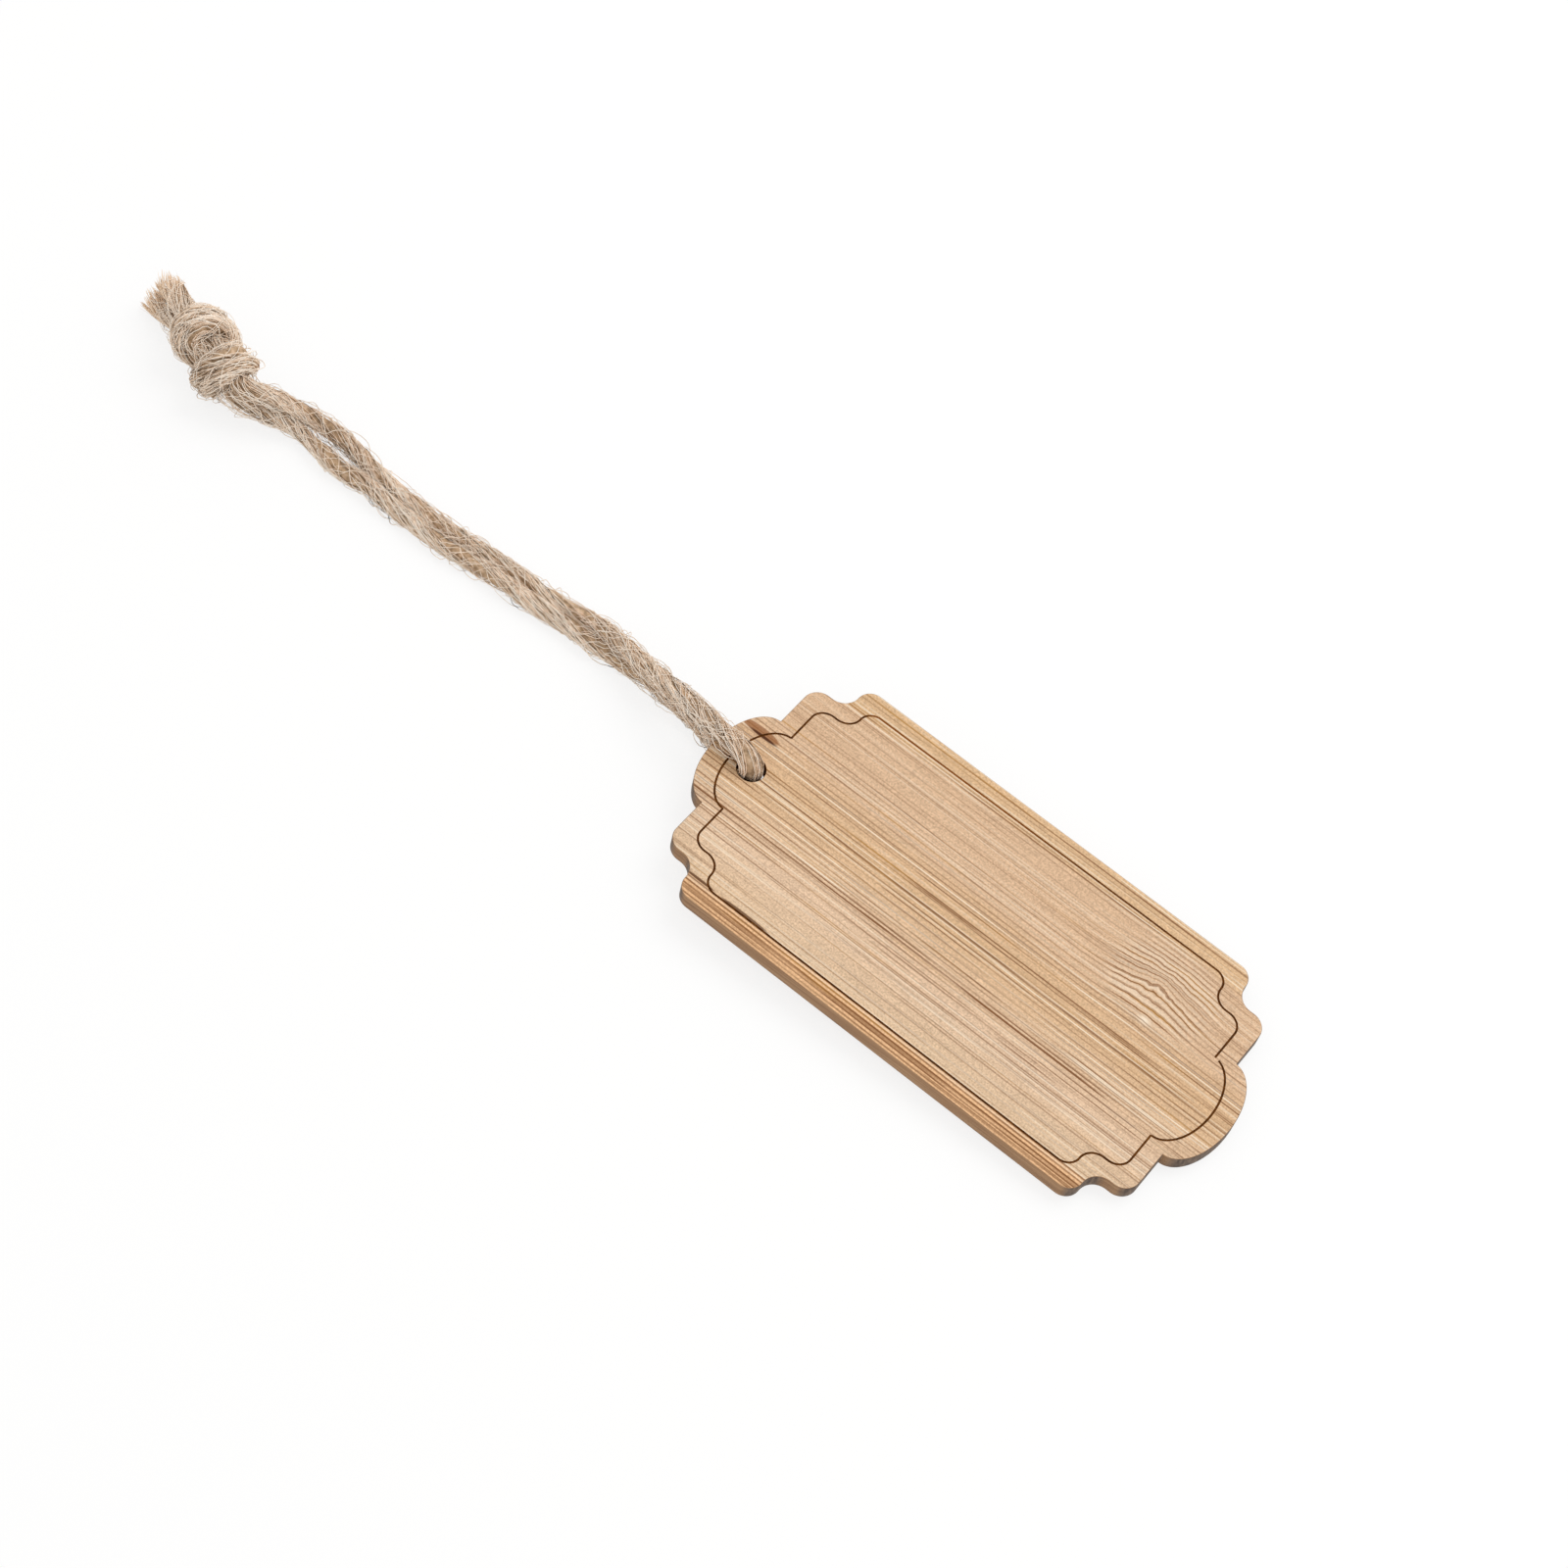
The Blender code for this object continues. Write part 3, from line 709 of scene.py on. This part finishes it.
# rings of the knuckle, closer and darker than the fibres around it
ringAt = addNode(tree, "ShaderNodeMath", {0: fibreY, 1: 1 / bs["knuckleRow"]}, operation="MULTIPLY")
ring = addNode(tree, "ShaderNodeMath", {0: ringAt.outputs[0], 1: 0.5}, operation="PINGPONG")
low, high = bs["knuckleEdge"]
inKnuckle = addNode(tree, "ShaderNodeMapRange", {0: blob, 1: low, 2: high, 3: 0.0, 4: 1.0},
                    interpolation_type="SMOOTHSTEP")
low, high, least = bs["ringPatch"]
patchy = addNode(tree, "ShaderNodeMapRange", {0: layers["streak"], 1: low, 2: high, 3: least, 4: 1.0})
inKnuckle = addNode(tree, "ShaderNodeMath", {0: inKnuckle.outputs[0], 1: patchy.outputs[0]},
                    operation="MULTIPLY")
rings = {}
for kind in ("ringDark", "ringPale"):
    low, high, full = bs[kind]
    found = addNode(tree, "ShaderNodeMapRange", {0: ring.outputs[0], 1: low, 2: high, 3: 0.0, 4: full},
                    interpolation_type="SMOOTHSTEP")
    rings[kind] = addNode(tree, "ShaderNodeMath", {0: found.outputs[0], 1: inKnuckle.outputs[0]},
                          operation="MULTIPLY").outputs[0]
# the main bundles lie where the cane was split, the seams where the near strip is glued on
share = addNode(tree, "ShaderNodeMapRange", {0: fibreY, 1: -halfWidth, 2: halfWidth, 3: 0.0, 4: 1.0})
length, width = bs["fade"]
fadeAt = addNode(tree, "ShaderNodeMapping", {"Vector": fibreAt, "Scale": (1 / length, 1 / width, 1 / width)})
fade = addNode(tree, "ShaderNodeTexNoise", {"Vector": fadeAt.outputs[0], "Scale": 1.0, "Detail": 1.0})
drawn = dict(bundles=0.0, seams=0.0)
for group in drawn:
    ordered = sorted(bs[group])
    for first in range(0, len(ordered), bs["perRamp"]):
        some = ordered[first:first + bs["perRamp"]]
        low, high = some[0][0] - bs["rampSpare"], some[-1][0] + bs["rampSpare"]
        stops = [(0.0, 0.0)]
        for y, half, strength in some:
            for offset, level in ((-half, 0.0), (-0.4 * half, strength), (0.4 * half, strength), (half, 0.0)):
                stops.append(((y + offset - low) / (high - low), level))
        narrow = addNode(tree, "ShaderNodeMapRange", {0: fibreY, 1: low, 2: high, 3: 0.0, 4: 1.0})
        ramp = addNode(tree, "ShaderNodeValToRGB", {"Fac": narrow.outputs[0]})
        setStops(ramp, stops)
        drawn[group] = addNode(tree, "ShaderNodeMath", {0: drawn[group], 1: ramp.outputs[0]},
                               operation="MAXIMUM").outputs[0]
    low, high, least, blend = bs[group + "Fade"]
    faded = addNode(tree, "ShaderNodeMapRange", {0: fade.outputs["Fac"], 1: low, 2: high, 3: least, 4: 1.0},
                    interpolation_type=blend)
    drawn[group] = addNode(tree, "ShaderNodeMath", {0: drawn[group], 1: faded.outputs[0]},
                           operation="MULTIPLY").outputs[0]
dense = addNode(tree, "ShaderNodeValToRGB", {"Fac": share.outputs[0]})
setStops(dense, [((y + halfWidth) / (2 * halfWidth), level) for y, level in bs["density"]])
for kind in singles:
    singles[kind] = addNode(tree, "ShaderNodeMath", {0: singles[kind], 1: dense.outputs[0]},
                            operation="MULTIPLY").outputs[0]
allDark, allPale = singles["darkRows"], singles["paleRows"]
for more in (drawn["bundles"], drawn["seams"], rings["ringDark"]):
    allDark = addNode(tree, "ShaderNodeMath", {0: allDark, 1: more}, operation="MAXIMUM").outputs[0]
for more in (rings["ringPale"], ovalPatch(tree, inMm, *bs["paleSpot"], "SPHERICAL")):
    allPale = addNode(tree, "ShaderNodeMath", {0: allPale, 1: more}, operation="MAXIMUM").outputs[0]
# colour: bands of the split cane, then streaks and speckle, then pale and dark fibres
ground = addNode(tree, "ShaderNodeValToRGB", {"Fac": share.outputs[0]})
setStops(ground, [((y + halfWidth) / (2 * halfWidth), c) for y, c in bs["bands"]])
speckle = addNode(tree, "ShaderNodeTexNoise", {"Vector": inMm, "Scale": 1 / bs["speckle"], "Detail": 1.0})
gain = 1.0
for source, (low, high) in ((layers["streak"], bs["streakGain"]), (layers["fine"], bs["fineGain"]),
                            (speckle.outputs["Fac"], bs["speckleGain"])):
    more = addNode(tree, "ShaderNodeMapRange", {0: source, 1: 0.25, 2: 0.75, 3: low, 4: high})
    gain = addNode(tree, "ShaderNodeMath", {0: gain, 1: more.outputs[0]}, operation="MULTIPLY").outputs[0]
lit = addNode(tree, "ShaderNodeMix", {0: 1.0, 6: ground.outputs[0], 7: gain}, data_type="RGBA",
              blend_type="MULTIPLY")
paled = addNode(tree, "ShaderNodeMix", {0: allPale, 6: lit.outputs[2], 7: linear(bs["pale"])},
                data_type="RGBA")
low, high = bs["ochreShare"]
hueShare = addNode(tree, "ShaderNodeMapRange", {0: layers["streak"], 1: low, 2: high, 3: 0.0, 4: 1.0})
lineHue = addNode(tree, "ShaderNodeMix", {0: hueShare.outputs[0], 6: linear(bs["dark"]),
                                          7: linear(bs["ochre"])}, data_type="RGBA")
stained = addNode(tree, "ShaderNodeMix", {0: allDark, 6: paled.outputs[2], 7: lineHue.outputs[2]},
                  data_type="RGBA")
# single stains and scorch marks
for spot, spread, (low, high, full), tint in bs["marks"]:
    stain = addNode(tree, "ShaderNodeMapRange", {0: ovalPatch(tree, inMm, spot, spread, "SPHERICAL"),
                                                 1: low, 2: high, 3: 0.0, 4: full},
                    interpolation_type="SMOOTHSTEP")
    stained = addNode(tree, "ShaderNodeMix", {0: stain.outputs[0], 6: stained.outputs[2], 7: linear(tint)},
                      data_type="RGBA")
tree.links.new(stained.outputs[2], shader.inputs["Base Color"])
low, high = bs["roughness"]
rough = addNode(tree, "ShaderNodeMapRange", {0: layers["fine"], 1: 0.2, 2: 0.8, 3: low, 4: high})
tree.links.new(rough.outputs[0], shader.inputs["Roughness"])
shader.inputs["Specular IOR Level"].default_value = bs["gloss"]
strength, depth = bs["relief"]
relief = addNode(tree, "ShaderNodeMath", {0: layers["fine"], 1: allDark}, operation="SUBTRACT")
bump = addNode(tree, "ShaderNodeBump", {"Height": relief.outputs[0], "Strength": strength,
                                        "Distance": depth * mm})
tree.links.new(bump.outputs[0], shader.inputs["Normal"])

# laser-cut bamboo edge: scorched brown, lengthwise streaks on the sides, sooty on the end grain
edgeSet = dict(
    side=[(0.3, "815d3e"), (0.5, "9f7956"), (0.7, "b08c68")],
    sideGrain=(9.0, 0.22),          # length along the edge and height, mm
    end=[(0.3, "48372c"), (0.5, "655243"), (0.72, "826d5b")],
    endGrain=(0.4, 1.6),
    endTurn=(0.15, 0.7),            # how far a face turns from side to end
    roughness=0.7,
    relief=(0.3, 0.06),
)
cutEdge, tree, shader = newMaterial("laserCutBamboo")
place = addNode(tree, "ShaderNodeTexCoord")
grains, colours = {}, {}
for kind in ("side", "end"):
    length, height = edgeSet[kind + "Grain"]
    grainAt = addNode(tree, "ShaderNodeMapping", {"Vector": place.outputs["Object"], "Scale": (
        1 / (length * mm), 1 / (length * mm), 1 / (height * mm))})
    grains[kind] = addNode(tree, "ShaderNodeTexNoise", {"Vector": grainAt.outputs[0], "Scale": 1.0,
                                                        "Detail": 3.0}).outputs["Fac"]
    colours[kind] = addNode(tree, "ShaderNodeValToRGB", {"Fac": grains[kind]})
    setStops(colours[kind], edgeSet[kind])
facing = addNode(tree, "ShaderNodeSeparateXYZ", {0: place.outputs["Normal"]})
turned = addNode(tree, "ShaderNodeMath", {0: facing.outputs[0]}, operation="ABSOLUTE")
low, high = edgeSet["endTurn"]
endShare = addNode(tree, "ShaderNodeMapRange", {0: turned.outputs[0], 1: low, 2: high, 3: 0.0, 4: 1.0},
                   interpolation_type="SMOOTHSTEP")
both = addNode(tree, "ShaderNodeMix", {0: endShare.outputs[0], 6: colours["side"].outputs[0],
                                       7: colours["end"].outputs[0]}, data_type="RGBA")
tree.links.new(both.outputs[2], shader.inputs["Base Color"])
shader.inputs["Roughness"].default_value = edgeSet["roughness"]
strength, depth = edgeSet["relief"]
bump = addNode(tree, "ShaderNodeBump", {"Height": grains["side"], "Strength": strength,
                                        "Distance": depth * mm})
tree.links.new(bump.outputs[0], shader.inputs["Normal"])

# charred bamboo: the laser's line and the rim of the hole, dark brown and matt
charSet = dict(
    stops=[(0.3, "452509"), (0.55, "623710"), (0.75, "7f5020")],
    grit=0.5,                       # mm
    singed="a2652f",                # the laser burnt the far side less
    singedY=(13.6, 14.1, 0.75),     # mm across, and the share there
    singedX=(8, -6, 0.25),          # mm along, and the least share
    roughness=0.9,
    gloss=0.05,
)
charred, tree, shader = newMaterial("charredBamboo")
place = addNode(tree, "ShaderNodeTexCoord")
grit = addNode(tree, "ShaderNodeTexNoise", {"Vector": place.outputs["Object"],
                                            "Scale": 1 / (charSet["grit"] * mm), "Detail": 3.0})
charColour = addNode(tree, "ShaderNodeValToRGB", {"Fac": grit.outputs["Fac"]})
setStops(charColour, charSet["stops"])
charAt = addNode(tree, "ShaderNodeSeparateXYZ", {0: place.outputs["Object"]})
low, high, full = charSet["singedY"]
weakY = addNode(tree, "ShaderNodeMapRange", {0: charAt.outputs[1], 1: low * mm, 2: high * mm,
                                             3: 0.0, 4: full})
low, high, least = charSet["singedX"]
weakX = addNode(tree, "ShaderNodeMapRange", {0: charAt.outputs[0], 1: low * mm, 2: high * mm,
                                             3: least, 4: 1.0})
weak = addNode(tree, "ShaderNodeMath", {0: weakY.outputs[0], 1: weakX.outputs[0]}, operation="MULTIPLY")
singed = addNode(tree, "ShaderNodeMix", {0: weak.outputs[0], 6: charColour.outputs[0],
                                         7: linear(charSet["singed"])}, data_type="RGBA")
tree.links.new(singed.outputs[2], shader.inputs["Base Color"])
shader.inputs["Roughness"].default_value = charSet["roughness"]
shader.inputs["Specular IOR Level"].default_value = charSet["gloss"]
for material in (bamboo, cutEdge, charred):
    board.data.materials.append(material)
for face in board.data.polygons:
    face.material_index = 0 if abs(face.normal.z) > boardSet["flatFace"] else 1
print("bamboo made")

# the burnt line is a shallow score that follows the outline inside the edge, in mm
lineSet = dict(
    scaleX=0.929,
    scaleY=0.865,
    width=0.27,
    depth=0.08,
    above=0.1,
    topShare=0.62,          # half its width at the cutter's top, as a share of the width
    bottomShare=0.3,
    gap=0.32,               # the line stops short of where it began
    step=1.5,
    closest=0.02,
)


def lineCutter(points, name):
    along = np.gradient(points, axis=0)
    along /= np.linalg.norm(along, axis=1)[:, None]
    normal = np.stack([-along[:, 1], along[:, 0]], axis=1)
    top, bottom = layoutSet["thickness"] + lineSet["above"], layoutSet["thickness"] - lineSet["depth"]
    wide, narrow, width = lineSet["topShare"], lineSet["bottomShare"], lineSet["width"]
    verts, faces = [], []
    for (x, y), (nx, ny) in zip(points, normal):
        for share, level in ((-wide, top), (wide, top), (narrow, bottom), (-narrow, bottom)):
            verts.append(((x + nx * width * share) * mm, (y + ny * width * share) * mm, level * mm))
    for k in range(len(points) - 1):
        for c in range(4):
            d = (c + 1) % 4
            faces.append((4 * k + c, 4 * k + 4 + c, 4 * k + 4 + d, 4 * k + d))
    last = 4 * (len(points) - 1)
    faces += [(0, 1, 2, 3), (last + 3, last + 2, last + 1, last)]
    mesh = bpy.data.meshes.new(name)
    mesh.from_pydata(verts, [], faces)
    cutter = bpy.data.objects.new(name, mesh)
    scene.collection.objects.link(cutter)
    pickOnly(cutter)
    bpy.ops.object.mode_set(mode="EDIT")
    bpy.ops.mesh.select_all(action="SELECT")
    bpy.ops.mesh.normals_make_consistent(inside=False)
    bpy.ops.object.mode_set(mode="OBJECT")
    return cutter


def cutAway(piece, cutter):
    cutter.data.materials.append(charred)
    hole = piece.modifiers.new("cut", "BOOLEAN")
    hole.operation = "DIFFERENCE"
    hole.solver = "EXACT"
    hole.material_mode = "TRANSFER"
    hole.use_self = True
    hole.object = cutter
    pickOnly(piece)
    bpy.ops.object.modifier_apply(modifier="cut")
    bpy.data.objects.remove(cutter, do_unlink=True)


scaledLine = np.array([(x * lineSet["scaleX"], y * lineSet["scaleY"]) for x, y in outline])
startAt = boardSet["lobeSteps"]
loop = np.concatenate([scaledLine[startAt:], scaledLine[:startAt]])
flatRun = travelled(np.column_stack([loop, np.zeros(len(loop))]))
lineEnd = flatRun[-1] - lineSet["gap"]
marks = np.unique(np.concatenate([flatRun[flatRun < lineEnd], np.arange(0, lineEnd, lineSet["step"])]))
marks = marks[np.concatenate([[True], np.diff(marks) > lineSet["closest"]])]
linePoints = np.stack([np.interp(marks, flatRun, loop[:, k]) for k in range(2)], axis=1)
cutAway(board, lineCutter(linePoints, "lineCutter"))

# hole, and the charred rim round it
holeRadius, rim = layoutSet["holeRadius"], boardSet["rimChar"]
bpy.ops.object.select_all(action="DESELECT")
bpy.ops.mesh.primitive_cylinder_add(vertices=boardSet["holeSides"], radius=holeRadius * mm,
                                    depth=3 * layoutSet["thickness"] * mm,
                                    location=(layoutSet["holeX"] * mm, 0, layoutSet["thickness"] * mm / 2))
cutAway(board, bpy.context.object)
bpy.ops.object.select_all(action="DESELECT")
bpy.ops.mesh.primitive_cone_add(vertices=boardSet["holeSides"], radius1=(holeRadius - rim) * mm,
                                radius2=(holeRadius + 2 * rim) * mm, depth=3 * rim * mm,
                                location=(layoutSet["holeX"] * mm, 0, layoutSet["thickness"] * mm))
cutAway(board, bpy.context.object)
board.matrix_world = Matrix.Scale(mm, 4) @ boardPlace @ Matrix.Scale(1 / mm, 4)
pickOnly(board)
bpy.ops.object.transform_apply(location=True, rotation=True, scale=True)
for vert in board.data.vertices:
    vert.co.z = max(vert.co.z, 0)  # the far tip rests on a small flat
bpy.ops.object.shade_smooth_by_angle(angle=boardSet["smoothAngle"])
print("board faces:", len(board.data.polygons))

# table and light
stageSet = dict(
    floor=1.6,
    floorWhite="fbfaf8",
    floorRoughness=0.9,
    glow=0.8,               # how much of the table shows as plain white
    key=2.3,
    keyPlace=(0.12, 0.42, 0.62),
    keySize=0.5,
    sky=0.78,
)
bpy.ops.object.select_all(action="DESELECT")
bpy.ops.mesh.primitive_plane_add(size=stageSet["floor"], location=(0, 0, 0))
floor = bpy.context.object
floor.name = "paleTable"
paper, tree, shader = newMaterial("whiteTable")  # matt white card, keeps a faint shadow
shader.inputs["Base Color"].default_value = linear(stageSet["floorWhite"])
shader.inputs["Roughness"].default_value = stageSet["floorRoughness"]
glow = addNode(tree, "ShaderNodeEmission", {"Color": (1, 1, 1, 1), "Strength": 1.0})
glowShare = addNode(tree, "ShaderNodeMath", {0: shownRays(tree), 1: stageSet["glow"]}, operation="MULTIPLY")
blend = addNode(tree, "ShaderNodeMixShader", {0: glowShare.outputs[0], 1: shader.outputs[0],
                                              2: glow.outputs[0]})
tree.links.new(blend.outputs[0], tree.nodes["Material Output"].inputs["Surface"])
floor.data.materials.append(paper)

bpy.ops.object.light_add(type="AREA", location=stageSet["keyPlace"])
key = bpy.context.object
key.data.energy = stageSet["key"]
key.data.size = stageSet["keySize"]
key.rotation_euler = (-Vector(stageSet["keyPlace"])).to_track_quat("-Z", "Y").to_euler()
world = bpy.data.worlds.new("sky")
scene.world = world
world.use_nodes = True
tree = world.node_tree
backdrop = tree.nodes["Background"]
backdrop.inputs["Color"].default_value = (1, 1, 1, 1)
level = addNode(tree, "ShaderNodeMapRange", {0: shownRays(tree), 3: stageSet["sky"], 4: 1.0})
tree.links.new(level.outputs[0], backdrop.inputs["Strength"])
scene.view_settings.view_transform = "Standard"
print("table and light set")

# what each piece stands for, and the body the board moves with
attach(board, "tag")
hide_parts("board")
for piece, route, nodes, length in (
        (twineOver, overLine, ("twine_bight", "twine_bend_over", "twine_leg_over", "knot_strand_over",
                                "twine_tail_over"), twineSet["overLength"]),
        (twineUnder, underLine, ("twine_bend_under", "twine_leg_under", "knot_strand_under",
                                  "twine_tail_under"), twineSet["underLength"])):
    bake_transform(piece)
    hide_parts(*nodes)
